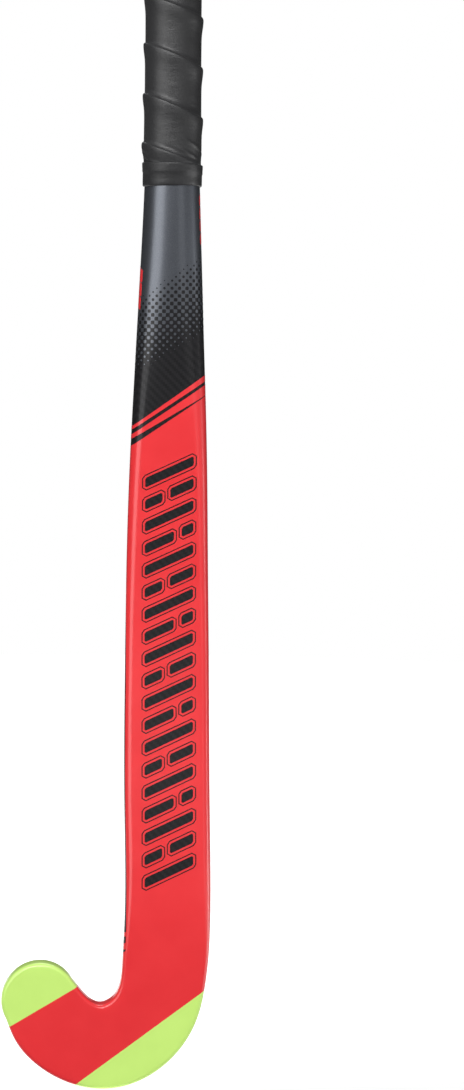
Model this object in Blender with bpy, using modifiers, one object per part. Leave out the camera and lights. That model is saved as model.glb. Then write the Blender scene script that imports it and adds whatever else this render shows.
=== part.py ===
"""A composite field hockey stick, standing on its heel with the handle up.

+Z runs up the stick from the heel to the butt, the flat playing face looks along -Y and the toe
points along -X. Metres throughout. Heights are given from the heel, X = 0 and Y = 0 are the axis of
the handle, and every piece hangs on an empty that puts the world's origin in the middle of the grip.

The stick is a hollow laminate skin in the shape of a J. Inside it are two tubes laid side by side,
whose touching walls make the centre web, a foam core in the head and foam in the top of each tube.
A plug closes the butt, and the handle carries a cushion tape, a wound grip and a finishing tape.
"""
import math

import bmesh
import bpy
import numpy as np
from mathutils import Vector

# Overall lengths
LENGTH = 0.927                 # heel to the top of the plug, a 36.5 inch stick
HOLD_HEIGHT = 0.713            # middle of the grip, where the stick is held
SKIN_TOP = 0.9207              # open upper end of the laminate
GRIP_BOTTOM = 0.505            # lower end of the wound grip

# Sections of the laminate
FACE_DEPTH = 0.0105            # middle of the section to the playing face
BACK_DEPTH = 0.0105            # middle of the section to the back, at the head
TOE_BACK_DEPTH = 0.0095        # the same at the toe
HANDLE_DEPTH = 0.013           # half the depth of the oval handle
FACE_CORNER = 0.0072           # radius between the playing face and the sides, high on the shaft
LOW_CORNER = 0.0046            # the same low on the shaft
HEAD_CORNER = 0.0022           # the same round the head
HANDLE_POWER = 2.1             # superellipse power of the handle
SHAFT_POWER = 2.35             # the same for the domed back of the shaft
HEAD_POWER = 4.4               # the same for the flatter back of the head
TOE_LENGTH = 0.97              # length of the round toe over half its width

# The bow: how far the shaft stands back from the plane of the playing face
BOW = 0.022
BOW_START = 0.06               # the face is flat below this height
BOW_RISE = 2.5
BOW_FALL = 6.0

# Centre of the shaft, which lies slightly to the toe side of the handle
SHAFT_OFFSET = 0.0015

# Walls and the gaps between neighbouring pieces
SKIN_WALL = 0.0013
TUBE_WALL = 0.001
GAP = 0.0003
CORE_GAP = 0.0007

# Heights where the inner pieces start and end
CORE_TOP = 0.0955
TUBE_BOTTOM = 0.0960
TUBE_TOP = 0.884
FOAM_BOTTOM = 0.62
FOAM_TOP = 0.8835

# Layers on the handle
LAYER_GAP = 0.00025
UNDERLAY = 0.00035
WRAP = 0.001
TAPE = 0.0003
TAPE_BOTTOM = 0.5012
TAPE_CONE = (0.5022, 0.5048)
TAPE_TOP = 0.5140

# Width of the laminate at heights down the handle and the shaft
WIDTHS = [
    (SKIN_TOP, 0.0280),
    (0.760, 0.0280),
    (0.620, 0.0281),
    (0.550, 0.0287),
    (0.500, 0.0306),
    (0.460, 0.0338),
    (0.420, 0.0373),
    (0.380, 0.0408),
    (0.340, 0.0436),
    (0.290, 0.0456),
    (0.230, 0.0471),
    (0.160, 0.0478),
    (0.0888, 0.0478),
]

# Ribs across the head, from the inside of the hook to its outside: (x, z) of both ends
HEAD_RIBS = [
    ((-0.0262, 0.0740), (0.0216, 0.0740)),
    ((-0.0269, 0.0635), (0.0197, 0.0575)),
    ((-0.0284, 0.0565), (0.0161, 0.0412)),
    ((-0.0310, 0.0516), (0.0090, 0.0264)),
    ((-0.0346, 0.0486), (-0.0032, 0.0128)),
    ((-0.0384, 0.0474), (-0.0195, 0.0032)),
    ((-0.0422, 0.0484), (-0.0380, 0.0000)),
    ((-0.0456, 0.0509), (-0.0570, 0.0041)),
    ((-0.0489, 0.0545), (-0.0735, 0.0138)),
    ((-0.0516, 0.0579), (-0.0850, 0.0265)),
    ((-0.0542, 0.0611), (-0.0910, 0.0403)),
]

# How finely the surfaces are cut
SHAFT_STEPS = 2
HEAD_STEPS = 3
TOE_STEPS = 10
FLAT_STEPS = 3
CORNER_STEPS = 3
BACK_STEPS = 6
PLUG_STEPS = 32

COLOURS = {
    "carbon": ((0.02, 0.02, 0.023, 1), 0.3, 0.2),
    "glass_laminate": ((0.10, 0.11, 0.10, 1), 0.5, 0.0),
    "head_foam": ((0.55, 0.42, 0.20, 1), 0.9, 0.0),
    "handle_foam": ((0.75, 0.66, 0.40, 1), 0.95, 0.0),
    "moulded_plastic": ((0.03, 0.03, 0.03, 1), 0.45, 0.0),
    "cushion_tape": ((0.25, 0.25, 0.26, 1), 0.9, 0.0),
    "polyurethane": ((0.015, 0.015, 0.016, 1), 0.6, 0.0),
    "vinyl_tape": ((0.01, 0.01, 0.01, 1), 0.35, 0.0),
}


def smooth(value, start, end):
    """0 at start and 1 at end, with no slope at either."""
    t = min(max((value - start) / (end - start), 0.0), 1.0)
    return t * t * (3 - 2 * t)


def corner_at(z):
    """Radius between the playing face and the sides at height z."""
    low = HEAD_CORNER + (LOW_CORNER - HEAD_CORNER) * smooth(z, 0.06, 0.13)
    return low + (FACE_CORNER - LOW_CORNER) * smooth(z, 0.22, 0.42)


def bow(z):
    """How far back the stick is bent at height z."""
    t = (z - BOW_START) / (LENGTH - BOW_START)
    if t <= 0:
        return 0.0
    peak = BOW_RISE / (BOW_RISE + BOW_FALL)
    top = peak ** BOW_RISE * (1 - peak) ** BOW_FALL
    return BOW * t ** BOW_RISE * (1 - t) ** BOW_FALL / top


class Spline:
    """Natural cubic spline through rows of numbers at rising parameters."""

    def __init__(self, knots, rows):
        self.knots = np.array(knots)
        self.rows = np.array(rows)
        count = len(knots)
        gaps = np.diff(self.knots)
        slopes = np.diff(self.rows, axis=0) / gaps[:, None]
        matrix = np.eye(count)
        right = np.zeros_like(self.rows)
        for i in range(1, count - 1):
            matrix[i, i - 1] = gaps[i - 1]
            matrix[i, i] = 2 * (gaps[i - 1] + gaps[i])
            matrix[i, i + 1] = gaps[i]
            right[i] = 6 * (slopes[i] - slopes[i - 1])
        self.bends = np.linalg.solve(matrix, right)

    def at(self, s):
        i = int(np.clip(np.searchsorted(self.knots, s) - 1, 0, len(self.knots) - 2))
        gap = self.knots[i + 1] - self.knots[i]
        a = (self.knots[i + 1] - s) / gap
        b = 1 - a
        bend = (a ** 3 - a) * self.bends[i] + (b ** 3 - b) * self.bends[i + 1]
        return a * self.rows[i] + b * self.rows[i + 1] + bend * gap * gap / 6


def ribs():
    """Every rib from the butt to the toe, each as (toe side x, z, heel side x, z)."""
    rows = []
    for z, width in WIDTHS:
        middle = -SHAFT_OFFSET * (1 - smooth(z, 0.25, 0.50))
        rows.append((middle - width / 2, z, middle + width / 2, z))
    for inner, outer in HEAD_RIBS:
        rows.append((*inner, *outer))
    return rows


ROWS = ribs()
KNOTS = [0.0]
for before, after in zip(ROWS, ROWS[1:]):
    step_x = (after[0] + after[2] - before[0] - before[2]) / 2
    step_z = (after[1] + after[3] - before[1] - before[3]) / 2
    KNOTS.append(KNOTS[-1] + math.hypot(step_x, step_z))
RAILS = Spline(KNOTS, ROWS)
HEAD_START = KNOTS[len(WIDTHS) - 1]
HEAD_END = KNOTS[-1]


class Station:
    """The section of the laminate at distance s down the stick."""

    def __init__(self, s):
        inner_x, inner_z, outer_x, outer_z = RAILS.at(s)
        inner = Vector((inner_x, 0, inner_z))
        outer = Vector((outer_x, 0, outer_z))
        self.middle = (inner + outer) / 2
        self.across = (outer - inner).normalized()
        self.half = (outer - inner).length / 2
        z = self.middle.z
        handle = smooth(z, 0.16, 0.55)
        toe = smooth(s, HEAD_START, HEAD_END)
        head_back = BACK_DEPTH + (TOE_BACK_DEPTH - BACK_DEPTH) * toe
        self.face = FACE_DEPTH + (HANDLE_DEPTH - FACE_DEPTH) * handle
        self.back = head_back + (HANDLE_DEPTH - BACK_DEPTH) * handle
        self.oval = smooth(z, 0.34, 0.47)
        self.corner = corner_at(z)
        shaft = SHAFT_POWER + (HANDLE_POWER - SHAFT_POWER) * smooth(z, 0.35, 0.55)
        self.power = HEAD_POWER + (shaft - HEAD_POWER) * smooth(z, 0.06, 0.20)

    def depths(self, x, inset):
        """Where the face and the back lie at distance x from the middle of the section."""
        half = self.half - inset
        face = self.face - inset
        back = self.back - inset
        corner = max(self.corner - inset, 0.0005)
        ratio = min(x / half, 1.0)
        arch = (1 - ratio ** self.power) ** (1 / self.power)
        side = -(1 - self.oval) * (face - corner)
        beyond = min(max(x - (half - corner), 0.0), corner)
        flat = -face + corner - math.sqrt(corner ** 2 - beyond ** 2)
        front = (1 - self.oval) * flat - self.oval * face * arch
        return front, side + (back - side) * arch

    def profile(self, inset, start=0.0):
        """(across, deep) from the face at x = start, round the side, to the back at x = start."""
        half = self.half - inset
        corner = max(self.corner - inset, 0.0005)
        points = []
        for i in range(FLAT_STEPS):
            x = start + (half - corner - start) * i / FLAT_STEPS
            points.append((x, self.depths(x, inset)[0]))
        for i in range(CORNER_STEPS):
            x = half - corner + corner * math.sin(math.pi / 2 * i / CORNER_STEPS)
            points.append((x, self.depths(x, inset)[0]))
        for i in range(BACK_STEPS + 1):
            turn = math.pi / 2 * i / BACK_STEPS
            x = start + (half - start) * abs(math.cos(turn)) ** (2 / self.power)
            points.append((x, self.depths(x, inset)[1]))
        return points

    def place(self, x, depth):
        """A point of the section in space, with the bow added."""
        point = self.middle + self.across * x
        point.y = depth + bow(point.z)
        return point

    def ring(self, inset):
        """The whole closed section, starting at the middle of the face, heel side first."""
        profile = self.profile(inset)
        other_side = [(-x, depth) for x, depth in profile[-2:0:-1]]
        return [self.place(x, depth) for x, depth in profile + other_side]

    def half_ring(self, inset, start, side):
        """One half of the section, closed by the web beside the middle."""
        profile = self.profile(inset, start)
        return [self.place(side * x, depth) for x, depth in profile]


def distance_at(z):
    """Distance down the stick of the rib at height z, anywhere above the head."""
    low, high = 0.0, HEAD_START
    for _ in range(60):
        mid = (low + high) / 2
        if RAILS.at(mid)[1] > z:
            low = mid
        else:
            high = mid
    return low


def distances(start, end):
    """Distances down the stick from start to end, through every rib and the steps between them."""
    marks = [start]
    for i, (near, far) in enumerate(zip(KNOTS, KNOTS[1:])):
        steps = SHAFT_STEPS if i < len(WIDTHS) - 1 else HEAD_STEPS
        for step in range(steps):
            mark = near + (far - near) * step / steps
            if start + 0.001 < mark < end - 0.001:
                marks.append(mark)
    return marks + [end]


def between(top, bottom):
    """Stations from one height down to another."""
    return [Station(s) for s in distances(distance_at(top), distance_at(bottom))]


def join_rings(mesh, rings):
    """Quads between neighbouring closed rings of vertices."""
    for upper, lower in zip(rings, rings[1:]):
        count = len(upper)
        for i in range(count):
            j = (i + 1) % count
            mesh.faces.new((upper[i], upper[j], lower[j], lower[i]))


def round_toe(mesh, station, inset, ring):
    """Closes the last ring with the half turn of its own profile about the toe's centre."""
    profile = station.profile(inset)
    last = len(profile) - 1
    forward = Vector((station.across.z, 0, -station.across.x))
    spokes = [ring[:last + 1]]
    for i in range(1, TOE_STEPS):
        turn = math.pi * i / TOE_STEPS
        way = station.across * math.cos(turn) + forward * TOE_LENGTH * math.sin(turn)
        spoke = [ring[0]]
        for x, depth in profile[1:last]:
            point = station.middle + way * x
            point.y = depth + bow(point.z)
            spoke.append(mesh.verts.new(point))
        spokes.append(spoke + [ring[last]])
    spokes.append([ring[0]] + ring[:last:-1] + [ring[last]])
    for near, far in zip(spokes, spokes[1:]):
        mesh.faces.new((near[0], near[1], far[1]))
        for i in range(1, last - 1):
            mesh.faces.new((near[i], near[i + 1], far[i + 1], far[i]))
        mesh.faces.new((near[last - 1], near[last], far[last - 1]))


def material(name):
    """A plain Principled BSDF material of that name."""
    made = bpy.data.materials.get(name)
    if made is None:
        made = bpy.data.materials.new(name)
        made.use_nodes = True
        colour, roughness, metallic = COLOURS[name]
        shader = made.node_tree.nodes["Principled BSDF"]
        shader.inputs["Base Color"].default_value = colour
        shader.inputs["Roughness"].default_value = roughness
        shader.inputs["Metallic"].default_value = metallic
    return made


def hang(obj):
    """Puts a piece in the stick's collection and on the empty that carries it."""
    stick.objects.link(obj)
    obj.parent = hold
    return obj


def finish(name, mesh, finish_name):
    """Turns a bmesh into a named object of the stick with outward faces."""
    bmesh.ops.recalc_face_normals(mesh, faces=mesh.faces)
    data = bpy.data.meshes.new(name)
    mesh.to_mesh(data)
    mesh.free()
    data.shade_smooth()
    data.set_sharp_from_angle(angle=math.radians(40))
    data.materials.append(material(finish_name))
    return hang(bpy.data.objects.new(name, data))


def loft(name, rings, finish_name, capped, toe=None):
    """A surface through rings of points, with flat ends or open ones, and with a round toe if asked."""
    mesh = bmesh.new()
    made = [[mesh.verts.new(point) for point in ring] for ring in rings]
    join_rings(mesh, made)
    if capped:
        mesh.faces.new(made[0])
    if toe is not None:
        station, inset = toe
        round_toe(mesh, station, inset, made[-1])
    elif capped:
        mesh.faces.new(made[-1])
    return finish(name, mesh, finish_name)


def thicken(obj, wall, outward):
    """Gives an open surface a wall, kept inside it or outside it."""
    solid = obj.modifiers.new("wall", "SOLIDIFY")
    solid.thickness = wall
    solid.offset = 1.0 if outward else -1.0
    solid.use_even_offset = True
    return obj


def outer_skin():
    stations = [Station(s) for s in distances(0.0, HEAD_END)]
    rings = [station.ring(0.0) for station in stations]
    skin = loft("outer_skin", rings, "carbon", False, (stations[-1], 0.0))
    thicken(skin, SKIN_WALL, outward=False)


def head_core():
    inset = SKIN_WALL + CORE_GAP
    stations = [Station(s) for s in distances(distance_at(CORE_TOP), HEAD_END)]
    rings = [station.ring(inset) for station in stations]
    loft("head_core", rings, "head_foam", True, (stations[-1], inset))


def inner_tubes():
    inset = SKIN_WALL + GAP
    for name, side in (("toe_side_tube", -1), ("heel_side_tube", 1)):
        stations = between(TUBE_TOP, TUBE_BOTTOM)
        rings = [station.half_ring(inset, GAP / 2, side) for station in stations]
        tube = loft(name, rings, "glass_laminate", False)
        thicken(tube, TUBE_WALL, outward=False)


def handle_foams():
    inset = SKIN_WALL + GAP + TUBE_WALL + GAP
    start = GAP / 2 + TUBE_WALL + GAP
    for name, side in (("toe_side_foam", -1), ("heel_side_foam", 1)):
        stations = between(FOAM_TOP, FOAM_BOTTOM)
        rings = [station.half_ring(inset, start, side) for station in stations]
        loft(name, rings, "handle_foam", True)


def handle_layers():
    underlay = LAYER_GAP
    wrap = underlay + UNDERLAY + LAYER_GAP
    tape = wrap + WRAP + LAYER_GAP
    grip = between(SKIN_TOP - GAP, GRIP_BOTTOM)
    rings = [station.ring(-underlay) for station in grip]
    thicken(loft("grip_underlay", rings, "cushion_tape", False), UNDERLAY, outward=True)
    rings = [station.ring(-wrap) for station in grip]
    thicken(loft("grip_wrap", rings, "polyurethane", False), WRAP, outward=True)
    steps = [
        (TAPE_TOP, tape),
        (TAPE_CONE[1], tape),
        (TAPE_CONE[0], LAYER_GAP),
        (TAPE_BOTTOM, LAYER_GAP),
    ]
    rings = [Station(distance_at(z)).ring(-outset) for z, outset in steps]
    thicken(loft("finishing_tape", rings, "vinyl_tape", False), TAPE, outward=True)


def end_plug():
    """A turned plug: a rounded flange on the end of the handle and a hollow barbed stem inside it."""
    flange = 0.0157
    under = SKIN_TOP + GAP
    edge = 0.0035
    stem = 0.0123
    barb = 0.0009
    barbs = 4
    stem_bottom = TUBE_TOP + 0.0015
    bore = 0.0092
    bore_top = under - 0.002
    profile = [(0.0, LENGTH)]
    for i in range(6):
        turn = math.pi / 2 * i / 5
        profile.append((flange - edge + edge * math.sin(turn), LENGTH - edge + edge * math.cos(turn)))
    profile.append((flange, under))
    pitch = (under - 0.004 - stem_bottom) / barbs
    for i in range(barbs):
        top = under - 0.004 - pitch * i
        if i == 0:
            profile.append((stem - barb, under))
        profile.append((stem - barb, top))
        profile.append((stem, top))
        profile.append((stem - barb, top - pitch * 0.8))
    profile += [(stem - barb, stem_bottom), (bore, stem_bottom), (bore, bore_top), (0.0, bore_top)]
    data = bpy.data.meshes.new("end_plug")
    points = [(radius, 0, z) for radius, z in profile]
    edges = [(i, i + 1) for i in range(len(points) - 1)]
    data.from_pydata(points, edges, [])
    data.materials.append(material("moulded_plastic"))
    plug = hang(bpy.data.objects.new("end_plug", data))
    plug.scale = (1, HANDLE_DEPTH * 2 / WIDTHS[0][1], 1)
    turned = plug.modifiers.new("turned", "SCREW")
    turned.angle = 2 * math.pi
    turned.steps = PLUG_STEPS
    turned.render_steps = PLUG_STEPS
    turned.use_merge_vertices = True
    turned.merge_threshold = 0.00001
    turned.use_smooth_shade = True


for old in list(bpy.data.objects):
    bpy.data.objects.remove(old, do_unlink=True)
stick = bpy.data.collections.new("field_hockey_stick")
bpy.context.scene.collection.children.link(stick)
hold = bpy.data.objects.new("hand_hold", None)
hold.location.z = -HOLD_HEIGHT
stick.objects.link(hold)
outer_skin()
head_core()
inner_tubes()
handle_foams()
handle_layers()
end_plug()
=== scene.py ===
import math

import bpy
import numpy as np
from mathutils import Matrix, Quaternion, Vector


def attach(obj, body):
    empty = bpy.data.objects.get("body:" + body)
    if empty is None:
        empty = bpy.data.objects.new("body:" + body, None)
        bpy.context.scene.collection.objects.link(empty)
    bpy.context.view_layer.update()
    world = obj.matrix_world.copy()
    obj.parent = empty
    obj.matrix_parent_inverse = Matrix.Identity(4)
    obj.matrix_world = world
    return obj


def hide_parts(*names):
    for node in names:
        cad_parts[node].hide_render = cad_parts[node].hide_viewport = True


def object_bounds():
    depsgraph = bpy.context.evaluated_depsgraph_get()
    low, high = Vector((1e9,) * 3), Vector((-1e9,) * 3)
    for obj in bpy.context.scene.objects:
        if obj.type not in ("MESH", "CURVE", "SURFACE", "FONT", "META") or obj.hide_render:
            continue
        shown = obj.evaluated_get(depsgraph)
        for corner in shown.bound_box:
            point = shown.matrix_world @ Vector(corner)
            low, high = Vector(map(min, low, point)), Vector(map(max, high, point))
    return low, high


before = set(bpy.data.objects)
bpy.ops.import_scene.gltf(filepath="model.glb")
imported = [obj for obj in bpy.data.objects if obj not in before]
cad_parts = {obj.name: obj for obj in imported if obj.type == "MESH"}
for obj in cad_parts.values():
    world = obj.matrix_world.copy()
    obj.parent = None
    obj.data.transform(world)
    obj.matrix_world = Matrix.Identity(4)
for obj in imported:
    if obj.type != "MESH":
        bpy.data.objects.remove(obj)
CAD_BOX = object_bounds()
HEEL = CAD_BOX[0][2]           # height of the heel in the frame; heights below are from the heel

# ---------------------------------------------------------------- dimensions shared with the CAD
LENGTH = 0.927                 # heel to the top of the plug
SKIN_TOP = 0.9207              # open upper end of the laminate
SKIN_WALL = 0.0013
FACE_DEPTH = 0.0105            # middle of the section to the playing face
BACK_DEPTH = 0.0105            # middle of the section to the back, at the head
TOE_BACK_DEPTH = 0.0095        # the same at the toe
HANDLE_DEPTH = 0.013           # half the depth of the oval handle
HANDLE_BLEND = (0.16, 0.55)    # heights between which the section deepens into the handle
FACE_CORNER = 0.0072           # radius between the playing face and the sides, high on the shaft
LOW_CORNER = 0.0046            # the same low on the shaft
HEAD_CORNER = 0.0022           # the same round the head
HANDLE_POWER = 2.1             # superellipse power of the handle
SHAFT_POWER = 2.35             # the same for the domed back of the shaft
HEAD_POWER = 4.4               # the same for the flatter back of the head
TOE_LENGTH = 0.97              # length of the round toe over half its width
BOW = 0.022
BOW_START = 0.06               # the face is flat below this height
BOW_RISE = 2.5
BOW_FALL = 6.0
SHAFT_OFFSET = 0.0015          # the shaft's middle from the handle's, towards the toe

# Height and width of the shaft, and then (x, z) of the hook's inner and outer edge down to the toe
WIDTHS = [
    (SKIN_TOP, 0.0280),
    (0.760, 0.0280),
    (0.620, 0.0281),
    (0.550, 0.0287),
    (0.500, 0.0306),
    (0.460, 0.0338),
    (0.420, 0.0373),
    (0.380, 0.0408),
    (0.340, 0.0436),
    (0.290, 0.0456),
    (0.230, 0.0471),
    (0.160, 0.0478),
    (0.0888, 0.0478),
]
HEAD_RIBS = [
    ((-0.0262, 0.0740), (0.0216, 0.0740)),
    ((-0.0269, 0.0635), (0.0197, 0.0575)),
    ((-0.0284, 0.0565), (0.0161, 0.0412)),
    ((-0.0310, 0.0516), (0.0090, 0.0264)),
    ((-0.0346, 0.0486), (-0.0032, 0.0128)),
    ((-0.0384, 0.0474), (-0.0195, 0.0032)),
    ((-0.0422, 0.0484), (-0.0380, 0.0000)),
    ((-0.0456, 0.0509), (-0.0570, 0.0041)),
    ((-0.0489, 0.0545), (-0.0735, 0.0138)),
    ((-0.0516, 0.0579), (-0.0850, 0.0265)),
    ((-0.0542, 0.0611), (-0.0910, 0.0403)),
]

# ---------------------------------------------------------------- fineness
FLAT_STEPS = 9                 # across half of the face
CORNER_STEPS = 7
FINE_CORNER_STEPS = 24
BACK_STEPS = 16                # across half of the back
TOE_STEPS = 36
ROUND_STEPS = 96               # round the tape and the plug
FLOOR_STEPS = 192
SHAFT_SPACING = 0.003
HEAD_SPACING = 0.0013


def smooth(value, start, end):
    """0 at start and 1 at end, with no slope at either. Works on numbers and arrays."""
    t = np.clip((value - start) / (end - start), 0.0, 1.0)
    return t * t * (3 - 2 * t)


def corner_at(z):
    """Radius between the playing face and the sides at height z."""
    low = HEAD_CORNER + (LOW_CORNER - HEAD_CORNER) * smooth(z, 0.06, 0.13)
    return low + (FACE_CORNER - LOW_CORNER) * smooth(z, 0.22, 0.42)


def face_depth(z):
    """Distance from the middle of the section to the playing face at height z."""
    return FACE_DEPTH + (HANDLE_DEPTH - FACE_DEPTH) * smooth(z, *HANDLE_BLEND)


def bow(z):
    """How far back the stick is bent at height z."""
    t = np.clip((z - BOW_START) / (LENGTH - BOW_START), 0.0, 1.0)
    peak = BOW_RISE / (BOW_RISE + BOW_FALL)
    top = peak ** BOW_RISE * (1 - peak) ** BOW_FALL
    return BOW * t ** BOW_RISE * (1 - t) ** BOW_FALL / top


class Spline:
    """Natural cubic spline through rows of numbers at rising parameters."""

    def __init__(self, knots, rows):
        self.knots = np.array(knots)
        self.rows = np.array(rows)
        count = len(knots)
        gaps = np.diff(self.knots)
        slopes = np.diff(self.rows, axis=0) / gaps[:, None]
        matrix = np.eye(count)
        right = np.zeros_like(self.rows)
        for i in range(1, count - 1):
            matrix[i, i - 1] = gaps[i - 1]
            matrix[i, i] = 2 * (gaps[i - 1] + gaps[i])
            matrix[i, i + 1] = gaps[i]
            right[i] = 6 * (slopes[i] - slopes[i - 1])
        self.bends = np.linalg.solve(matrix, right)

    def at(self, s):
        """The row of numbers at parameter s."""
        i = int(np.clip(np.searchsorted(self.knots, s) - 1, 0, len(self.knots) - 2))
        gap = self.knots[i + 1] - self.knots[i]
        a = (self.knots[i + 1] - s) / gap
        b = 1 - a
        bend = (a ** 3 - a) * self.bends[i] + (b ** 3 - b) * self.bends[i + 1]
        return a * self.rows[i] + b * self.rows[i + 1] + bend * gap * gap / 6


def ribs():
    """Every rib from the butt to the toe, each as (toe side x, z, heel side x, z)."""
    rows = []
    for z, width in WIDTHS:
        middle = -SHAFT_OFFSET * (1 - smooth(z, 0.25, 0.50))
        rows.append((middle - width / 2, z, middle + width / 2, z))
    for inner, outer in HEAD_RIBS:
        rows.append((*inner, *outer))
    return rows


ROWS = ribs()
KNOTS = [0.0]
for before, after in zip(ROWS, ROWS[1:]):
    step_x = (after[0] + after[2] - before[0] - before[2]) / 2
    step_z = (after[1] + after[3] - before[1] - before[3]) / 2
    KNOTS.append(KNOTS[-1] + math.hypot(step_x, step_z))
RAILS = Spline(KNOTS, ROWS)
HEAD_START = KNOTS[len(WIDTHS) - 1]
HEAD_END = KNOTS[-1]


class Station:
    """The section of the laminate at distance s down the stick."""

    def __init__(self, s):
        inner_x, inner_z, outer_x, outer_z = RAILS.at(s)
        inner = np.array([inner_x, inner_z])
        outer = np.array([outer_x, outer_z])
        self.middle = (inner + outer) / 2
        self.half = np.linalg.norm(outer - inner) / 2
        self.across = (outer - inner) / (2 * self.half)
        z = self.middle[1]
        toe = smooth(s, HEAD_START, HEAD_END)
        head_back = BACK_DEPTH + (TOE_BACK_DEPTH - BACK_DEPTH) * toe
        self.face = face_depth(z)
        self.back = head_back + (HANDLE_DEPTH - BACK_DEPTH) * smooth(z, *HANDLE_BLEND)
        self.oval = smooth(z, 0.34, 0.47)
        self.corner = corner_at(z)
        shaft = SHAFT_POWER + (HANDLE_POWER - SHAFT_POWER) * smooth(z, 0.35, 0.55)
        self.power = HEAD_POWER + (shaft - HEAD_POWER) * smooth(z, 0.06, 0.20)

    def depths(self, x):
        """Where the face and the back lie at distance x from the middle of the section."""
        ratio = np.minimum(x / self.half, 1.0)
        arch = (1 - ratio ** self.power) ** (1 / self.power)
        side = -(1 - self.oval) * (self.face - self.corner)
        beyond = np.clip(x - (self.half - self.corner), 0.0, self.corner)
        flat = -self.face + self.corner - np.sqrt(self.corner ** 2 - beyond ** 2)
        front = (1 - self.oval) * flat - self.oval * self.face * arch
        return front, side + (self.back - side) * arch

    def profile(self, flat=FLAT_STEPS, corner=CORNER_STEPS, back=BACK_STEPS):
        """(across, deep) from the middle of the face, round the side, to the middle of the back."""
        flat_x = (self.half - self.corner) * np.arange(flat) / flat
        turn = np.pi / 2 * np.arange(corner) / corner
        corner_x = self.half - self.corner + self.corner * np.sin(turn)
        turn = np.pi / 2 * np.arange(back + 1) / back
        back_x = self.half * np.abs(np.cos(turn)) ** (2 / self.power)
        front_x = np.concatenate([flat_x, corner_x])
        front = np.column_stack([front_x, self.depths(front_x)[0]])
        behind = np.column_stack([back_x, self.depths(back_x)[1]])
        return np.vstack([front, behind])

    def place(self, across, depth, way=None):
        """Rows x, y, z, across, depth for points of the section, bow included."""
        way = self.across if way is None else way
        x = self.middle[0] + way[0] * across
        z = self.middle[1] + way[1] * across
        return np.column_stack([x, depth + bow(z), z, across, depth])

    def ring(self, profile):
        """Rows all the way round the section, for the profile of one half of it."""
        whole = np.vstack([profile, profile[-2:0:-1] * [-1, 1]])
        return self.place(whole[:, 0], whole[:, 1])


def distance_at(z):
    """Distance down the stick of the rib at height z, anywhere above the head."""
    low, high = 0.0, HEAD_START
    for _ in range(60):
        mid = (low + high) / 2
        if RAILS.at(mid)[1] > z:
            low = mid
        else:
            high = mid
    return low


# ---------------------------------------------------------------- surfaces as rows and faces
# A surface is (rows, faces). A row is x, y, z, across, depth, the normal, and for some surfaces more.
def with_normals(rows, faces):
    """Adds smooth normals to the rows, and turns the faces outward."""
    data = bpy.data.meshes.new("scratch")
    data.from_pydata(rows[:, :3].tolist(), [], faces)
    data.update()
    normals = np.zeros(len(rows) * 3, np.float32)
    data.vertex_normals.foreach_get("vector", normals)
    bpy.data.meshes.remove(data)
    normals = normals.reshape(-1, 3)
    front = np.argmin(rows[:, 4])
    if normals[front, 1] > 0:
        normals = -normals
        faces = [face[::-1] for face in faces]
    return np.hstack([rows[:, :5], normals, rows[:, 5:]]), faces


def between_rings(rings, size):
    """Faces between rings of rows that follow each other."""
    faces = []
    for base in range(0, (rings - 1) * size, size):
        for j in range(size):
            k = (j + 1) % size
            faces.append((base + j, base + k, base + size + k, base + size + j))
    return faces


def lofted(stations):
    """The laminate's outer surface through stations, closed by the round toe.

    The toe turns the last section's half profile about its middle, like the spokes of half a wheel.
    """
    rows = [station.ring(station.profile()) for station in stations]
    size = len(rows[0])
    faces = between_rings(len(rows), size)
    last = stations[-1]
    profile = last.profile()
    inner = profile[1:-1]
    count = len(profile)
    base = (len(rows) - 1) * size
    start = len(rows) * size
    forward = np.array([last.across[1], -last.across[0]]) * TOE_LENGTH
    spokes = [[base + i for i in range(count)]]
    for i in range(1, TOE_STEPS):
        turn = math.pi * i / TOE_STEPS
        way = last.across * math.cos(turn) + forward * math.sin(turn)
        rows.append(last.place(inner[:, 0], inner[:, 1], way))
        middle = [start + k for k in range(count - 2)]
        spokes.append([base] + middle + [base + count - 1])
        start += count - 2
    back = [base + size - i for i in range(1, count - 1)]
    spokes.append([base] + back + [base + count - 1])
    for near, far in zip(spokes, spokes[1:]):
        faces.append((near[0], near[1], far[1]))
        for i in range(1, count - 2):
            faces.append((near[i], near[i + 1], far[i + 1], far[i]))
        faces.append((near[-2], near[-1], far[-2]))
    return with_normals(np.vstack(rows), faces)


def clip(surface, keep):
    """The part of a surface where keep(rows) is positive, cut along the line where it is zero."""
    rows, faces = surface
    level = keep(rows)
    level = np.where(np.abs(level) < 1e-9, 1e-9, level)
    inside = level > 0
    extra = []
    crossings = {}

    def crossing(a, b):
        key = (a, b) if a < b else (b, a)
        if key not in crossings:
            share = level[a] / (level[a] - level[b])
            extra.append(rows[a] + (rows[b] - rows[a]) * share)
            crossings[key] = len(rows) + len(extra) - 1
        return crossings[key]

    kept = []
    for face in faces:
        ins = [inside[i] for i in face]
        if all(ins):
            kept.append(face)
        elif any(ins):
            made = []
            for i, a in enumerate(face):
                b = face[(i + 1) % len(face)]
                if inside[a]:
                    made.append(a)
                if inside[a] != inside[b]:
                    made.append(crossing(a, b))
            if len(made) > 2:
                kept.append(tuple(made))
    if extra:
        rows = np.vstack([rows, np.array(extra)])
    used = np.unique(np.concatenate([np.array(face) for face in kept])) if kept else []
    place = np.zeros(len(rows), int)
    place[used] = np.arange(len(used))
    return rows[used], [tuple(int(place[i]) for i in face) for face in kept]


def cuts(surface, *keeps):
    """The part of a surface where every keep is positive."""
    for keep in keeps:
        surface = clip(surface, keep)
    return surface


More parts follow.
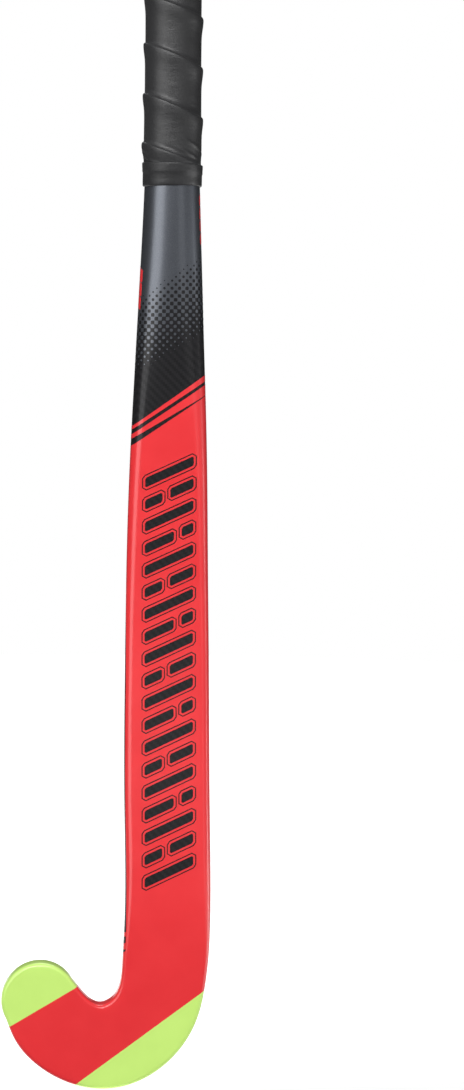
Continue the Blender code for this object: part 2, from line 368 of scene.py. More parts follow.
def joined(surfaces):
    """Several surfaces as one."""
    rows, faces, start = [], [], 0
    for some_rows, some_faces in surfaces:
        rows.append(some_rows)
        faces += [tuple(i + start for i in face) for face in some_faces]
        start += len(some_rows)
    return np.vstack(rows), faces


# ---------------------------------------------------------------- objects
def piece(name, data, material, replaces=()):
    """Places a mesh as a piece of the stick with its material, riding on the stick's body."""
    obj = bpy.data.objects.new(name, data)
    bpy.context.scene.collection.objects.link(obj)
    obj.location.z = HEEL
    data.materials.append(material)
    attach(obj, "root")
    if replaces:
        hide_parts(*replaces)
    return obj


def closed_mesh(name, upper, lower, faces):
    """A mesh of faces over upper, the same faces turned over on lower, and walls round every edge."""
    count = len(upper)
    edges = {}
    for face in faces:
        for i, a in enumerate(face):
            b = face[(i + 1) % len(face)]
            if (b, a) in edges:
                del edges[(b, a)]
            else:
                edges[(a, b)] = True
    walls = [(a, a + count, b + count, b) for a, b in edges]
    under = [tuple(i + count for i in face[::-1]) for face in faces]
    data = bpy.data.meshes.new(name)
    data.from_pydata(np.vstack([upper, lower]).tolist(), [], list(faces) + under + walls)
    data.update()
    data.shade_smooth()
    return data, under, walls


def film(name, surface, top, bottom, material, replaces=()):
    """A thin closed layer on a surface, from bottom to top above it, shaded by the surface's normals."""
    rows, faces = surface
    count = len(rows)
    normals = rows[:, 5:8]
    normals = normals / np.linalg.norm(normals, axis=1)[:, None]
    upper = rows[:, :3] + normals * top
    lower = rows[:, :3] + normals * bottom
    data, under, walls = closed_mesh(name, upper, lower, faces)
    shown = [tuple(normals[i]) for face in faces for i in face]
    hidden = [tuple(-normals[i - count]) for face in under for i in face]
    plain = [(0.0, 0.0, 0.0)] * (4 * len(walls))
    data.normals_split_custom_set(shown + hidden + plain)
    return piece(name, data, material, replaces)


# ---------------------------------------------------------------- materials
class Tree:
    """A material's nodes, with short calls for the ones used here."""

    def __init__(self, name):
        self.material = bpy.data.materials.new(name)
        self.material.use_nodes = True
        self.nodes = self.material.node_tree.nodes
        self.links = self.material.node_tree.links
        self.shader = self.nodes["Principled BSDF"]
        self.place = self.add("ShaderNodeTexCoord").outputs["Object"]

    def add(self, kind):
        return self.nodes.new(kind)

    def feed(self, socket, value):
        """Links another node's output to a socket, or sets its value."""
        if isinstance(value, bpy.types.NodeSocket):
            self.links.new(value, socket)
        else:
            socket.default_value = value

    def math(self, operation, *values):
        node = self.add("ShaderNodeMath")
        node.operation = operation
        for socket, value in zip(node.inputs, values):
            self.feed(socket, value)
        return node.outputs[0]

    def axes(self):
        node = self.add("ShaderNodeSeparateXYZ")
        self.feed(node.inputs[0], self.place)
        return node.outputs

    def noise(self, scale, detail, stretch=None):
        node = self.add("ShaderNodeTexNoise")
        source = self.place
        if stretch is not None:
            mapping = self.add("ShaderNodeMapping")
            self.feed(mapping.inputs["Vector"], source)
            mapping.inputs["Scale"].default_value = stretch
            source = mapping.outputs[0]
        self.feed(node.inputs["Vector"], source)
        node.inputs["Scale"].default_value = scale
        node.inputs["Detail"].default_value = detail
        return node.outputs["Fac"]

    def ramp(self, value, low, high, to_low=0.0, to_high=1.0):
        """A value between low and high, brought to the range from to_low to to_high."""
        node = self.add("ShaderNodeMapRange")
        for socket, number in zip(node.inputs, (value, low, high, to_low, to_high)):
            self.feed(socket, number)
        return node.outputs[0]

    def mix(self, share, first, second):
        node = self.add("ShaderNodeMix")
        node.data_type = "RGBA"
        self.feed(node.inputs[0], share)
        self.feed(node.inputs[6], first)
        self.feed(node.inputs[7], second)
        return node.outputs[2]

    def bump(self, height, distance, strength=1.0, under=None):
        node = self.add("ShaderNodeBump")
        self.feed(node.inputs["Height"], height)
        node.inputs["Distance"].default_value = distance
        node.inputs["Strength"].default_value = strength
        if under is not None:
            self.feed(node.inputs["Normal"], under)
        return node.outputs[0]

    def set(self, **values):
        """Feeds the shader's sockets by their short names, and gives the finished material."""
        names = {
            "colour": "Base Color",
            "roughness": "Roughness",
            "metallic": "Metallic",
            "normal": "Normal",
            "coat": "Coat Weight",
            "coat_roughness": "Coat Roughness",
            "sheen": "Sheen Weight",
            "specular": "Specular IOR Level",
        }
        for key, value in values.items():
            self.feed(self.shader.inputs[names[key]], value)
        return self.material


def lacquer(name, colour, shade):
    """Sprayed paint under clear lacquer: faint mottling, a little orange peel and uneven gloss."""
    tree = Tree(name)
    mottle = tree.noise(38.0, 3.0)
    tone = tree.mix(tree.ramp(mottle, 0.35, 0.65), (*colour, 1), (*shade, 1))
    gloss = tree.noise(90.0, 4.0)
    peel = tree.noise(420.0, 1.0)
    return tree.set(
        colour=tone,
        roughness=tree.ramp(gloss, 0.3, 0.7, 0.30, 0.40),
        normal=tree.bump(peel, 0.00003, 0.5),
        coat=0.8,
        coat_roughness=0.22,
        specular=0.25,
    )


def twill(tree, tow):
    """Height of a 2 by 2 twill weave of tows, and which of the two directions lies on top.

    The weave is laid across the face and the back by x, and across the sides by depth.
    """
    x, y, z = tree.axes()
    facing = tree.add("ShaderNodeSeparateXYZ")
    tree.feed(facing.inputs[0], tree.add("ShaderNodeNewGeometry").outputs["Normal"])
    sideways = tree.math("GREATER_THAN", tree.math("ABSOLUTE", facing.outputs[0]), 0.72)
    place = tree.add("ShaderNodeMix")
    for socket, value in zip((place.inputs[0], place.inputs[2], place.inputs[3]), (sideways, x, y)):
        tree.feed(socket, value)
    across = tree.math("DIVIDE", place.outputs[0], tow)
    along = tree.math("DIVIDE", z, tow)
    column = tree.math("FLOOR", across)
    row = tree.math("FLOOR", along)
    step = tree.math("MODULO", tree.math("ADD", tree.math("ADD", column, row), 4000.0), 4.0)
    warp = tree.math("LESS_THAN", step, 1.5)
    across_wave = tree.math("SINE", tree.math("MULTIPLY", tree.math("FRACT", across), math.pi))
    along_wave = tree.math("SINE", tree.math("MULTIPLY", tree.math("FRACT", along), math.pi))
    weft = tree.math("SUBTRACT", 1.0, warp)
    height = tree.math(
        "ADD", tree.math("MULTIPLY", warp, across_wave), tree.math("MULTIPLY", weft, along_wave)
    )
    return height, warp


def carbon():
    """Woven carbon under gloss lacquer: the two tow directions get a darker and a paler colour, a
    painted sheen for how they catch the light differently.
    """
    tree = Tree("carbon_twill")
    height, warp = twill(tree, 0.0012)
    fibre = tree.noise(600.0, 2.0, (1.0, 1.0, 0.15))
    # Painted sheen: the tows lying one way get a paler colour than the others, standing in for their
    # different reflection.
    tone = tree.mix(warp, (0.010, 0.010, 0.011, 1), (0.019, 0.018, 0.020, 1))
    tone = tree.mix(tree.ramp(fibre, 0.3, 0.7, 0.0, 0.6), tone, (0.015, 0.015, 0.017, 1))
    return tree.set(
        colour=tone,
        roughness=tree.ramp(height, 0.0, 1.0, 0.55, 0.36),
        normal=tree.bump(height, 0.00008, 0.30),
        metallic=0.3,
        coat=0.22,
        coat_roughness=0.14,
        specular=0.25,
    )


def plain_finish(name, colour, roughness, scale, depth):
    """A finish with a fine grain, for what is hidden inside or small."""
    tree = Tree(name)
    grain = tree.noise(scale, 3.0)
    darker = tuple(part * 0.8 for part in colour)
    return tree.set(
        colour=tree.mix(grain, (*colour, 1), (*darker, 1)),
        roughness=roughness,
        normal=tree.bump(grain, depth, 0.6),
    )


def metallic_paint(name, colour, flake_colour):
    """Metallic paint under clear lacquer, with fine flakes."""
    tree = Tree(name)
    flake = tree.noise(2600.0, 1.0)
    tone = tree.mix(tree.ramp(flake, 0.4, 0.7, 0.0, 0.5), (*colour, 1), (*flake_colour, 1))
    return tree.set(
        colour=tone,
        roughness=0.36,
        metallic=0.8,
        normal=tree.bump(tree.noise(420.0, 1.0), 0.00003, 0.5),
        coat=0.25,
        coat_roughness=0.16,
        specular=0.3,
    )


def rubber(name, colour):
    """Black polymer with a fine leathery grain, paler where hands and knocks have polished it."""
    tree = Tree(name)
    grain = tree.noise(1500.0, 3.0)
    folds = tree.noise(130.0, 3.0, (1.0, 1.0, 2.6))
    wear = tree.noise(24.0, 4.0)
    paler = tuple(part * 2.0 for part in colour)
    tone = tree.mix(tree.ramp(wear, 0.35, 0.75, 0.0, 0.6), (*colour, 1), (*paler, 1))
    under = tree.bump(folds, 0.0006, 0.35)
    return tree.set(
        colour=tone,
        roughness=tree.ramp(wear, 0.3, 0.7, 0.50, 0.40),
        normal=tree.bump(grain, 0.00008, 0.6, under),
        specular=0.50,
        sheen=0.02,
    )


# ---------------------------------------------------------------- paint lines, as (x, z) in metres
def below(first, second):
    """Positive below the straight line through two points, where first is further towards the toe."""
    slope = (second[1] - first[1]) / (second[0] - first[0])

    def keep(rows):
        return first[1] + slope * (rows[:, 0] - first[0]) - rows[:, 2]

    return keep


def flipped(keep):
    """Positive where keep is negative."""
    return lambda rows: -keep(rows)


def behind_line(height):
    """Positive below the line that crosses the back at a height, steeper over the heel side."""

    def keep(rows):
        x = rows[:, 0]
        line = height + 0.56 * x + 25.0 * np.clip(x - 0.008, 0, None) ** 2 - rows[:, 2]
        return np.maximum(line, -0.0335 - x)

    return keep


def on_face(rows):
    """Positive on the playing face and its corners, and negative on the sides and the back."""
    z = rows[:, 2]
    widest = corner_at(z) - face_depth(z)
    toe_edge = widest - 0.0022 + 0.0040 * smooth(z, 0.22, 0.34)
    edge = np.where(rows[:, 3] < 0, toe_edge, widest + 0.0018)
    return edge - rows[:, 4]


HOOK_MIDDLE = -0.0465          # x that parts the toe's side of the hook from the shaft's
TOE_LINE = below((-0.0894, 0.0357), (-0.0517, 0.0579))
HEEL_LINE = below((-0.0523, 0.0030), (0.0199, 0.0558))
# The five lines on the face and the five behind bound, from the top down, two red stripes and then
# the red paint.
FACE_LINES = [
    below((-0.0211, 0.3691), (0.0196, 0.3979)),
    below((-0.0211, 0.3672), (0.0196, 0.3944)),
    below((-0.0211, 0.3646), (0.0196, 0.3924)),
    below((-0.0211, 0.3622), (0.0196, 0.3864)),
    below((-0.0211, 0.3584), (0.0196, 0.3860)),
]
BACK_LINES = [behind_line(height) for height in (0.1022, 0.0999, 0.0963, 0.0929, 0.0915)]

# Rings are wide apart under the grip, closer below it and closest round the head.
marks = [distance_at(z) for z in np.arange(SKIN_TOP, 0.53, -0.02)]
marks += [distance_at(z) for z in np.arange(0.53, 0.0895, -SHAFT_SPACING)]
marks += list(np.linspace(HEAD_START, HEAD_END, int((HEAD_END - HEAD_START) / HEAD_SPACING)))
skin = lofted([Station(s) for s in marks])

LIFT = 0.00006                 # top of a coat of paint above the laminate
UNDER = 0.000004               # underside of the paint, just clear of the laminate
carbon_finish = carbon()
red = lacquer("red_lacquer", (0.82, 0.038, 0.044), (0.78, 0.033, 0.039))
lime = lacquer("lime_lacquer", (0.60, 0.89, 0.205), (0.57, 0.85, 0.19))
black = lacquer("black_lacquer", (0.008, 0.008, 0.009), (0.012, 0.012, 0.013))

film("stick_laminate", skin, 0.0, -SKIN_WALL, carbon_finish, ["outer_skin"])


def toe_zone(rows):
    """Positive on the lime toe: above its line, and on the toe's side of the hook."""
    return np.minimum(-TOE_LINE(rows), HOOK_MIDDLE - rows[:, 0])


def red_zone(rows):
    """Positive below the last line on the face, and below the last line behind."""
    face = np.minimum(on_face(rows), FACE_LINES[4](rows))
    return np.maximum(face, BACK_LINES[4](rows))


film("red_paint", cuts(skin, red_zone, flipped(toe_zone), flipped(HEEL_LINE)), LIFT, UNDER, red)
film("lime_toe", clip(skin, toe_zone), LIFT, UNDER, lime)
film("lime_heel", clip(skin, HEEL_LINE), LIFT, UNDER, lime)
stripes = []
for upper, lower in ((0, 1), (2, 3)):
    stripes.append(cuts(skin, on_face, FACE_LINES[upper], flipped(FACE_LINES[lower])))
    stripes.append(cuts(skin, flipped(on_face), BACK_LINES[upper], flipped(BACK_LINES[lower])))
film("red_stripes", joined(stripes), LIFT, UNDER, red)


# ---------------------------------------------------------------- grey paint and its halftone
HALFTONE_PITCH = 0.0042
HALFTONE_COLUMNS = 11.5        # pitches from the middle of the face round to the middle of the back


def halftone(rows):
    """Positive where the grey paint shows: whole above, and fading to black in dots below.

    The fade runs between two slanted lines, a pair on the face and a pair behind. Column 8 of the
    rows is the way round.
    """
    x, z = rows[:, 0], rows[:, 2]
    behind = smooth(rows[:, 4], -0.002, 0.002)
    top = (0.4528 + 0.690 * x) * (1 - behind) + (0.4457 + 0.785 * x) * behind
    end = (0.4058 + 0.575 * x) * (1 - behind) + (0.4010 + 0.593 * x) * behind
    rise = np.clip((z - end) / (top - end), 0.0, 1.05)
    share = 2 * rise ** 1.3 - 1.05
    turn = 2 * math.pi / HALFTONE_PITCH
    spot = np.cos(turn * rows[:, 8]) * np.cos(turn * z)
    return 0.35 * share + 0.65 * share ** 3 - spot


def fine_band(heights, flat, back):
    """The laminate's surface at some heights on a finer grid, with the way round it as a column.

    The spare length of the wider rings is taken up on the sides, so that rows of dots stay
    straight on the face and on the back.
    """
    rings = []
    for z in heights:
        station = Station(distance_at(z))
        profile = station.profile(flat, FINE_CORNER_STEPS, back)
        steps = np.linalg.norm(np.diff(profile, axis=0), axis=1)
        round_way = np.concatenate([[0.0], np.cumsum(steps)])
        spare = round_way[-1] - HALFTONE_COLUMNS * HALFTONE_PITCH
        round_way = round_way - spare * smooth(round_way / round_way[-1], 0.35, 0.65)
        round_way = np.concatenate([round_way, round_way[-2:0:-1]])
        rings.append(np.column_stack([station.ring(profile), round_way]))
    return with_normals(np.vstack(rings), between_rings(len(rings), len(rings[0])))


GREY_TOP = 0.520               # under the grip
DOTS_TOP = 0.4640              # the finer band that the dots are cut from
DOTS_BOTTOM = 0.3880
grey_top = fine_band(np.linspace(GREY_TOP, DOTS_TOP, 20), 24, 40)
grey_dots = clip(fine_band(np.linspace(DOTS_TOP, DOTS_BOTTOM, 180), 28, 52), halftone)
grey_finish = metallic_paint("grey_metallic", (0.115, 0.125, 0.145), (0.19, 0.20, 0.22))
film("grey_paint", grey_top, LIFT, UNDER, grey_finish)
film("grey_halftone", grey_dots, LIFT, UNDER, grey_finish)


# ---------------------------------------------------------------- red pinstripes of the upper shaft
def tapered(x, z, width, end_z, end_width):
    """Positive on a line down the stick from one height and width to another."""

    def keep(rows):
        share = (z - rows[:, 2]) / (z - end_z)
        half = (width + (end_width - width) * share) / 2
        return np.minimum(half - np.abs(rows[:, 0] - x), np.minimum(share, 1 - share) * 0.01)

    return keep


def edge_line(side, z, end_z, low, high):
    """Positive on a line along one side of the stick, between two depths."""

    def keep(rows):
        depth = np.minimum(rows[:, 4] - low, high - rows[:, 4])
        slanted = rows[:, 2] - 0.35 * rows[:, 4]
        height = np.minimum(z - slanted, slanted - end_z)
        return np.minimum(np.minimum(depth, height), side * rows[:, 3])

    return keep


lines_area = fine_band(np.linspace(0.5010, 0.4160, 45), 28, 52)
behind_area = clip(lines_area, lambda rows: rows[:, 4] - 0.002)
pinstripes = [clip(behind_area, tapered(0.0075, 0.5006, 0.0013, 0.4170, 0.0003))]
for k in range(4):
    low = 0.4708 + 0.0070 * k
    pinstripes.append(clip(lines_area, edge_line(1, low + 0.0060, low, -0.0046, 0.0036)))
for k in range(3):
    low = 0.4352 + 0.0074 * k
    pinstripes.append(clip(lines_area, edge_line(-1, low + 0.0071, low, -0.0056, 0.0044)))
film("red_pinstripes", joined(pinstripes), 2 * LIFT, LIFT / 2, red)


# ---------------------------------------------------------------- graphics: plain slanted bars
BAR_ROWS = 19
BAR_THICKNESS = 0.0054
BAR_SLANT = 0.46
BAR_CORNER = 0.0008
OUTLINE = (0.0017, 0.0011)     # outer and inner edge of the thin line, out from the bar
ROW_REACH = 0.013              # no bar comes further than this from its row's height
# Where each row's bars begin and end, as shares of the column's width. The rows repeat in this order.
BAR_SPLITS = [[(0.0, 1.0)], [(0.0, 0.36), (0.52, 1.0)], [(0.0, 1.0)], [(0.0, 0.60), (0.76, 1.0)]]


def polygon(points):
    """The half-planes of a convex shape given as (x, z) points, turning either way."""
    centre = np.mean(np.array(points), axis=0)
    sides = []
    for (ax, az), (bx, bz) in zip(points, points[1:] + points[:1]):
        nx, nz = az - bz, bx - ax
        if (centre[0] - ax) * nx + (centre[1] - az) * nz < 0:
            nx, nz = -nx, -nz
        size = math.hypot(nx, nz)
        sides.append((nx / size, nz / size, ax, az))
    return sides


def inside_of(side, grow=0.0):
    """Positive on the inner side of a half-plane that is moved out by grow."""
    nx, nz, ax, az = side
    return lambda rows: (rows[:, 0] - ax) * nx + (rows[:, 2] - az) * nz + grow


def slab(surface, sides, grow=0.0):
    """The part of a surface inside a convex shape grown by grow."""
    return cuts(surface, *[inside_of(side, grow) for side in sides])


def hoop(surface, sides, outer, inner):
    """The part of a surface between a shape grown by outer and the same shape grown by inner."""
    left = slab(surface, sides, outer)
    parts = []
    for side in sides:
        part = clip(left, flipped(inside_of(side, inner)))
        if len(part[1]):
            parts.append(part)
        left = clip(left, inside_of(side, inner))
    return joined(parts)


def bar(x0, x1, z):
    """A slanted bar between two x, centred at height z where x is 0, with its corners cut."""
    points = []
    for x, side in ((x0, -1), (x1, -1), (x1, 1), (x0, 1)):
        along = BAR_CORNER if x == x0 else -BAR_CORNER
        near = (x + along, z + BAR_SLANT * (x + along) + side * BAR_THICKNESS / 2)
        level = (x, z + BAR_SLANT * x + side * (BAR_THICKNESS / 2 - BAR_CORNER))
        points += [level, near] if (x == x0) == (side < 0) else [near, level]
    return polygon(points)


def patch(top, bottom, spacing, behind, steps):
    """A strip of the face or of the back between two heights, clear of the edges."""
    rows = []
    heights = np.arange(top, bottom, -spacing)
    share = np.linspace(-0.86, 0.86, steps)
    for z in heights:
        station = Station(distance_at(z))
        across = share * station.half
        depth = station.depths(np.abs(across))[1 if behind else 0]
        rows.append(station.place(across, depth))
    faces = []
    for i in range(len(heights) - 1):
        for j in range(steps - 1):
            a = i * steps + j
            faces.append((a, a + 1, a + steps + 1, a + steps))
    rows = np.vstack(rows)
    data = bpy.data.meshes.new("scratch")
    data.from_pydata(rows[:, :3].tolist(), [], faces)
    normals = np.array([tuple(v.normal) for v in data.vertices])
    bpy.data.meshes.remove(data)
    wanted = 1.0 if behind else -1.0
    if normals[:, 1].mean() * wanted < 0:
        normals = -normals
        faces = [face[::-1] for face in faces]
    return np.hstack([rows, normals]), faces


def graphic(top, bottom, x0, x1, behind):
    """A column of slanted bars and the thin lines round them, as two surfaces."""
    surface = patch(top + 0.012, bottom - 0.012, 0.0015, behind, 33)
    pitch = (top - bottom) / BAR_ROWS
    bars, lines = [], []
    for i in range(BAR_ROWS):
        z = top - (i + 0.5) * pitch
        low, high = z - ROW_REACH, z + ROW_REACH
        band = cuts(surface, lambda rows: high - rows[:, 2], lambda rows: rows[:, 2] - low)
        for left, right in BAR_SPLITS[i % len(BAR_SPLITS)]:
            shape = bar(x0 + left * (x1 - x0), x0 + right * (x1 - x0), z)
            bars.append(slab(band, shape))
            lines.append(hoop(band, shape, *OUTLINE))
    return joined(bars), joined(lines)


face_bars, face_lines = graphic(0.3500, 0.1160, -0.0142, 0.0128, False)
film("face_graphic_bars", face_bars, 2 * LIFT, LIFT / 2, carbon_finish)
film("face_graphic_lines", face_lines, 2 * LIFT, LIFT / 2, black)


def hexagon(radius):
    """The emblem's hexagon on the back of the head, at one of its sizes."""
    x, z, tilt = -0.0120, 0.0590, 0.2
    points = []
    for k in range(6):
        angle = tilt + math.pi * k / 3
        points.append((x + radius * math.cos(angle), z + radius * math.sin(angle)))
    return polygon(points)


emblem_area = cuts(skin, lambda rows: rows[:, 4], lambda rows: 0.080 - rows[:, 2])
emblem = [
    hoop(emblem_area, hexagon(0.0140), 0.0, -0.0014),
    hoop(emblem_area, hexagon(0.0140), -0.0030, -0.0044),
    slab(emblem_area, hexagon(0.0044)),
]
film("back_emblem", joined(emblem), 2 * LIFT, LIFT / 2, black)
back_bars, back_lines = graphic(0.3460, 0.1390, -0.0148, 0.0106, True)
steel = metallic_paint("steel_metallic", (0.20, 0.23, 0.27), (0.31, 0.34, 0.38))
film("back_graphic_bars", back_bars, LIFT, UNDER, steel)
film("back_graphic_lines", back_lines, LIFT, UNDER, red)


# ---------------------------------------------------------------- grip, finishing tape and plug
HANDLE_Z = np.arange(0.490, SKIN_TOP + 0.0004, 0.005)
HANDLE_STATIONS = [Station(distance_at(min(z, SKIN_TOP))) for z in HANDLE_Z]
HANDLE_HALF = [station.half for station in HANDLE_STATIONS]
HANDLE_DEEP = [station.face for station in HANDLE_STATIONS]
HANDLE_SHAPE = [station.power for station in HANDLE_STATIONS]


def on_handle(turn, z, out):
    """Points at a turn round the handle from the middle of the face, a height and a distance out."""
    half = np.interp(z, HANDLE_Z, HANDLE_HALF) + out
    deep = np.interp(z, HANDLE_Z, HANDLE_DEEP) + out
    share = 2 / np.interp(z, HANDLE_Z, HANDLE_SHAPE)
    sine, cosine = np.sin(turn), np.cos(turn)
    x = half * np.sign(sine) * np.abs(sine) ** share
    y = -deep * np.sign(cosine) * np.abs(cosine) ** share
    return np.stack([x, y + bow(z), z], axis=-1)


PITCH = 0.0268                 # height of one turn of the wrap
TURN_STEPS = 72
WRAP_START = 0.5456 + 15 * PITCH
WRAP_STOP = 0.470              # where the winding runs out, below the cut
WRAP_END = 0.5035              # where the wrap is cut, under the tape
WRAP_THICKNESS = 0.00125
# Across the strip from its upper edge: distance down, and distance out from the handle
STRAND = [
    (0.0, 0.00125),
    (0.0002, 0.0017),
    (0.0005, 0.00205),
    (0.0010, 0.00226),
    (0.0018, 0.00232),
    (0.0032, 0.00226),
    (0.0052, 0.00204),
    (0.0074, 0.00172),
    (0.0096, 0.00148),
    (0.0125, 0.00134),
    (0.0160, 0.00130),
    (0.0190, 0.00128),
    (0.0242, 0.00125),
]
# Height, turn, reach and depth of each crease
CREASES = [
    (0.5225, 0.9, 0.6, 0.00040),
    (0.5172, 0.75, 0.7, 0.00036),
    (0.5150, -0.9, 0.8, 0.00030),
    (0.5335, 2.6, 0.8, 0.00034),
    (0.5270, -2.2, 0.7, 0.00034),
]


def creases(turn, z):
    """Distance out of the small ridges where the wrap is pulled tight."""
    total = 0.0
    for height, where, reach, depth in CREASES:
        away = np.angle(np.exp(1j * (turn - where)))
        line = z - (height - PITCH * away / (2 * np.pi) * 1.6)
        total = total + depth * np.exp(-(away / reach) ** 4) * np.exp(-(line / 0.0009) ** 2)
    return total


def wound_grip():
    """The wrap as one surface that steps out at each overlap, wound down from the butt."""
    down = np.concatenate([np.array(STRAND)[:7, 0], np.linspace(0.0060, 0.0242, 26)])
    out = np.interp(down, np.array(STRAND)[:, 0], np.array(STRAND)[:, 1])
    count = int((WRAP_START - WRAP_STOP) / PITCH * TURN_STEPS)
    k = np.arange(count)[:, None]
    turn = 2 * np.pi * k / TURN_STEPS
    waver = 0.0003 * np.sin(0.37 * turn + 1.0) + 0.00014 * np.sin(2.3 * turn)
    z = WRAP_START - PITCH * (k / TURN_STEPS + 0.045 * np.sin(2 * turn)) - down[None, :] + waver
    swell = 1 + 0.10 * np.sin(0.83 * turn + 0.4) + 0.05 * np.sin(3.1 * turn)
    height = WRAP_THICKNESS + (out[None, :] - WRAP_THICKNESS) * swell
    thin = 0.42 + 0.58 * smooth(z, 0.5060, 0.5240)
    flare = 0.00045 * smooth(z, 0.895, 0.915)
    turn = np.broadcast_to(turn, z.shape)
    outer = on_handle(turn, z, height * thin + flare + creases(turn, z)).reshape(-1, 3)
    inner = on_handle(turn, z, np.full(z.shape, 0.0002)).reshape(-1, 3)
    size = len(down)
    faces = []
    for a in range(count - 1):
        for i in range(size):
            if i + 1 < size:
                right = (a * size + i + 1, (a + 1) * size + i + 1)
            elif a + 1 + TURN_STEPS < count:
                right = ((a + TURN_STEPS) * size, (a + 1 + TURN_STEPS) * size)
            else:
                continue
            faces.append((a * size + i, right[0], right[1], (a + 1) * size + i))
    surface = (np.hstack([outer, inner]), faces)
    rows, faces = cuts(surface, lambda rows: SKIN_TOP - rows[:, 2], lambda rows: rows[:, 2] - WRAP_END)
    return rows[:, :3], faces, rows[:, 3:]


def shell(name, outer, faces, inner, material, replaces):
    """A closed piece between an outer surface and the matching inner points."""
    return piece(name, closed_mesh(name, outer, inner, faces)[0], material, replaces)


wrap_outer, wrap_faces, wrap_inner = wound_grip()
grip_finish = rubber("grip_polyurethane", (0.020, 0.020, 0.021))
shell(
    "grip_winding", wrap_outer, wrap_faces, wrap_inner, grip_finish, ["grip_wrap"]
)

# Up the tape: height, and distance out from the handle
TAPE = [
    (0.5012, 0.00010),
    (0.5012, 0.00060),
    (0.5014, 0.00095),
    (0.5020, 0.00112),
    (0.5040, 0.00122),
    (0.5080, 0.00132),
    (0.5084, 0.00152),
    (0.5089, 0.00160),
    (0.5105, 0.00166),
    (0.5120, 0.00178),
    (0.5128, 0.00182),
    (0.5132, 0.00176),
    (0.5134, 0.00150),
    (0.5134, 0.00090),
]


def taped():
    """The band of tape: two turns, the upper one over the lower, its top edge a little askew."""
    z = np.array(TAPE)[:, 0][None, :]
    out = np.array(TAPE)[:, 1][None, :]
    turn = (2 * np.pi * np.arange(ROUND_STEPS) / ROUND_STEPS)[:, None]
    upper = smooth(z, 0.5060, 0.5083)
    z = z + upper * (0.0007 * np.sin(turn + 2.6) + 0.00018 * np.sin(3 * turn))
    z = z + (1 - upper) * 0.00022 * np.sin(2 * turn + 0.7)
    out = out * (1 + 0.035 * np.sin(5 * turn + 1.0) * upper)
    turn = np.broadcast_to(turn, z.shape)
    outer = on_handle(turn, z, out).reshape(-1, 3)
    inner = on_handle(turn, z, out * 0 + 0.00003).reshape(-1, 3)
    size = len(TAPE)
    faces = []
    for a in range(ROUND_STEPS):
        b = (a + 1) % ROUND_STEPS
        for i in range(size - 1):
            faces.append((a * size + i, b * size + i, b * size + i + 1, a * size + i + 1))
    return outer, faces, inner


tape_outer, tape_faces, tape_inner = taped()
tape_finish = rubber("vinyl_tape", (0.018, 0.018, 0.019))
shell("finishing_band", tape_outer, tape_faces, tape_inner, tape_finish, ["finishing_tape"])

# Down the plug from the middle of its top: radius and height
PLUG = [
    (0.0, 0.9264),
    (0.0016, 0.9264),
    (0.0020, 0.9262),
    (0.0024, 0.9263),
    (0.0028, 0.9267),
    (0.0036, 0.9269),
    (0.0090, 0.92695),
    (0.0122, 0.9267),
    (0.0128, 0.9264),
    (0.0131, 0.92625),
    (0.0134, 0.9264),
    (0.0140, 0.9264),
    (0.0148, 0.9260),
    (0.0153, 0.9253),
    (0.0156, 0.9243),
    (0.0157, 0.9232),
    (0.0157, 0.9219),
    (0.0156, 0.9213),
    (0.0153, 0.9211),
    (0.0118, 0.9211),
    (0.0116, 0.9208),
    (0.0115, 0.8900),
    (0.0110, 0.8895),
    (0.0, 0.8895),
]


def butt_plug():
    """The moulded cap and the stub that goes into the handle, turned from a profile, a little oval."""
    steps = ROUND_STEPS
    rows = [(0.0, 0.0, PLUG[0][1]), (0.0, 0.0, PLUG[-1][1])]
    for radius, z in PLUG[1:-1]:
        for k in range(steps):
            turn = 2 * math.pi * k / steps
            rows.append((radius * math.cos(turn), radius * math.sin(turn) * 26 / 28 + bow(z), z))
    faces = []
    last = 2 + (len(PLUG) - 3) * steps
    for k in range(steps):
        other = (k + 1) % steps
        faces.append((0, 2 + k, 2 + other))
        faces.append((1, last + other, last + k))
        for i in range(len(PLUG) - 3):
            a = 2 + i * steps
            faces.append((a + k, a + steps + k, a + steps + other, a + other))
    data = bpy.data.meshes.new("butt_plug")
    data.from_pydata(rows, [], faces)
    data.update()
    data.shade_smooth()
    finish = rubber("plug_plastic", (0.024, 0.024, 0.025))
    return piece("butt_plug", data, finish, ["end_plug"])


butt_plug()

# ---------------------------------------------------------------- finishes for the CAD parts that stay
HIDDEN = {
    "head_core": plain_finish("core_foam", (0.62, 0.54, 0.40), 0.85, 420.0, 0.0004),
    "toe_side_foam": plain_finish("handle_foam", (0.70, 0.70, 0.66), 0.9, 520.0, 0.0003),
    "toe_side_tube": plain_finish("inner_laminate", (0.03, 0.03, 0.032), 0.45, 700.0, 0.0001),
    "grip_underlay": plain_finish("cushion_tape", (0.10, 0.10, 0.11), 0.9, 900.0, 0.0002),
}
HIDDEN["heel_side_foam"] = HIDDEN["toe_side_foam"]
HIDDEN["heel_side_tube"] = HIDDEN["toe_side_tube"]
for node, finish in HIDDEN.items():
    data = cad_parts[node].data
    data.materials.clear()
    data.materials.append(finish)

# ---------------------------------------------------------------- camera, light and floor
camera_data = bpy.data.cameras.new("camera")
camera = bpy.data.objects.new("camera", camera_data)
bpy.context.scene.collection.objects.link(camera)
bpy.context.scene.camera = camera
camera_data.lens = 95.75
camera_data.clip_end = 50.0
camera.location = (-0.079, -1.6, HEEL + 0.42)
aim = Vector((0.03375, 0.0, HEEL + 0.3035))
look = (aim - camera.location).to_track_quat("-Z", "Y")
camera.rotation_euler = (look @ Quaternion((0, 0, 1), math.radians(0.38))).to_euler()


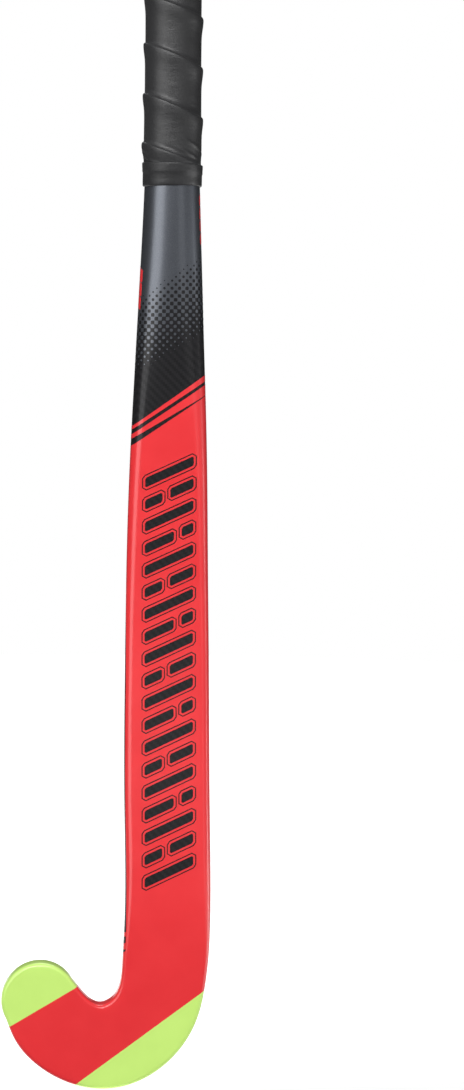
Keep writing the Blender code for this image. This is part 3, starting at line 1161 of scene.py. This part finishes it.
def area_light(name, place, target, size, energy):
    """A soft rectangular light that looks at its target."""
    data = bpy.data.lights.new(name, "AREA")
    data.shape = "RECTANGLE"
    data.size, data.size_y = size
    data.energy = energy
    obj = bpy.data.objects.new(name, data)
    obj.location = place
    way = Vector(target) - Vector(place)
    obj.rotation_euler = way.to_track_quat("-Z", "Y").to_euler()
    bpy.context.scene.collection.objects.link(obj)


middle = (0.0, 0.0, HEEL + 0.42)
area_light("key_left", (-1.05, -1.22, HEEL + 0.66), middle, (1.15, 1.4), 14.6)
area_light("soft_right", (0.95, -1.90, HEEL + 0.30), middle, (0.7, 1.0), 1.8)
area_light("strip_right", (1.25, -0.85, HEEL - 0.22), (0.02, 0, HEEL + 0.12), (0.5, 0.6), 3.0)
area_light("rim_right", (1.60, -0.25, HEEL - 0.10), (0.02, 0, HEEL + 0.15), (0.3, 0.6), 6.5)
area_light("front_top", (-0.25, -1.80, HEEL + 1.40), middle, (1.4, 0.9), 36.0)
area_light("back_top", (0.15, 1.55, HEEL + 1.85), middle, (1.3, 0.7), 13.0)

# The floor is a disc whose near edge lies just in front of the playing face, so that it throws no
# light up at the face. It glows faintly, to stay as white as the photo's ground.
FLOOR_RADIUS = 1.1
FLOOR_EDGE = -0.012
floor_data = bpy.data.meshes.new("floor")
rim = []
for i in range(FLOOR_STEPS):
    turn = math.tau * i / FLOOR_STEPS
    rim.append((FLOOR_RADIUS * math.cos(turn), FLOOR_EDGE + FLOOR_RADIUS * (1 + math.sin(turn)), 0))
floor_data.from_pydata(rim, [], [tuple(range(FLOOR_STEPS))])
floor = bpy.data.objects.new("floor", floor_data)
floor.location.z = HEEL - 0.0005
bpy.context.scene.collection.objects.link(floor)
paper = Tree("floor_paper")
grain = paper.noise(60.0, 4.0)
paper.set(colour=paper.mix(grain, (0.93, 0.93, 0.93, 1), (0.90, 0.90, 0.90, 1)), roughness=0.9)
paper.shader.inputs["Emission Color"].default_value = (1, 1, 1, 1)
paper.shader.inputs["Emission Strength"].default_value = 0.80
floor_data.materials.append(paper.material)

# The world is white where it is seen, and for the stick a dim dome that is brighter overhead.
world = bpy.data.worlds.new("world")
bpy.context.scene.world = world
world.use_nodes = True
sky = world.node_tree
background = sky.nodes["Background"]
background.inputs["Color"].default_value = (1, 1, 1, 1)
direction = sky.nodes.new("ShaderNodeTexCoord")
split = sky.nodes.new("ShaderNodeSeparateXYZ")
sky.links.new(direction.outputs["Generated"], split.inputs[0])
dome = sky.nodes.new("ShaderNodeMapRange")
dome.interpolation_type = "SMOOTHSTEP"
for socket, value in zip(dome.inputs[1:5], (0.30, 0.85, 0.03, 0.25)):
    socket.default_value = value
sky.links.new(split.outputs[2], dome.inputs[0])
seen = sky.nodes.new("ShaderNodeLightPath")
choice = sky.nodes.new("ShaderNodeMix")
choice.inputs[3].default_value = 1.0
sky.links.new(seen.outputs["Is Camera Ray"], choice.inputs[0])
sky.links.new(dome.outputs[0], choice.inputs[2])
sky.links.new(choice.outputs[0], background.inputs["Strength"])
bpy.context.scene.view_settings.view_transform = "Standard"
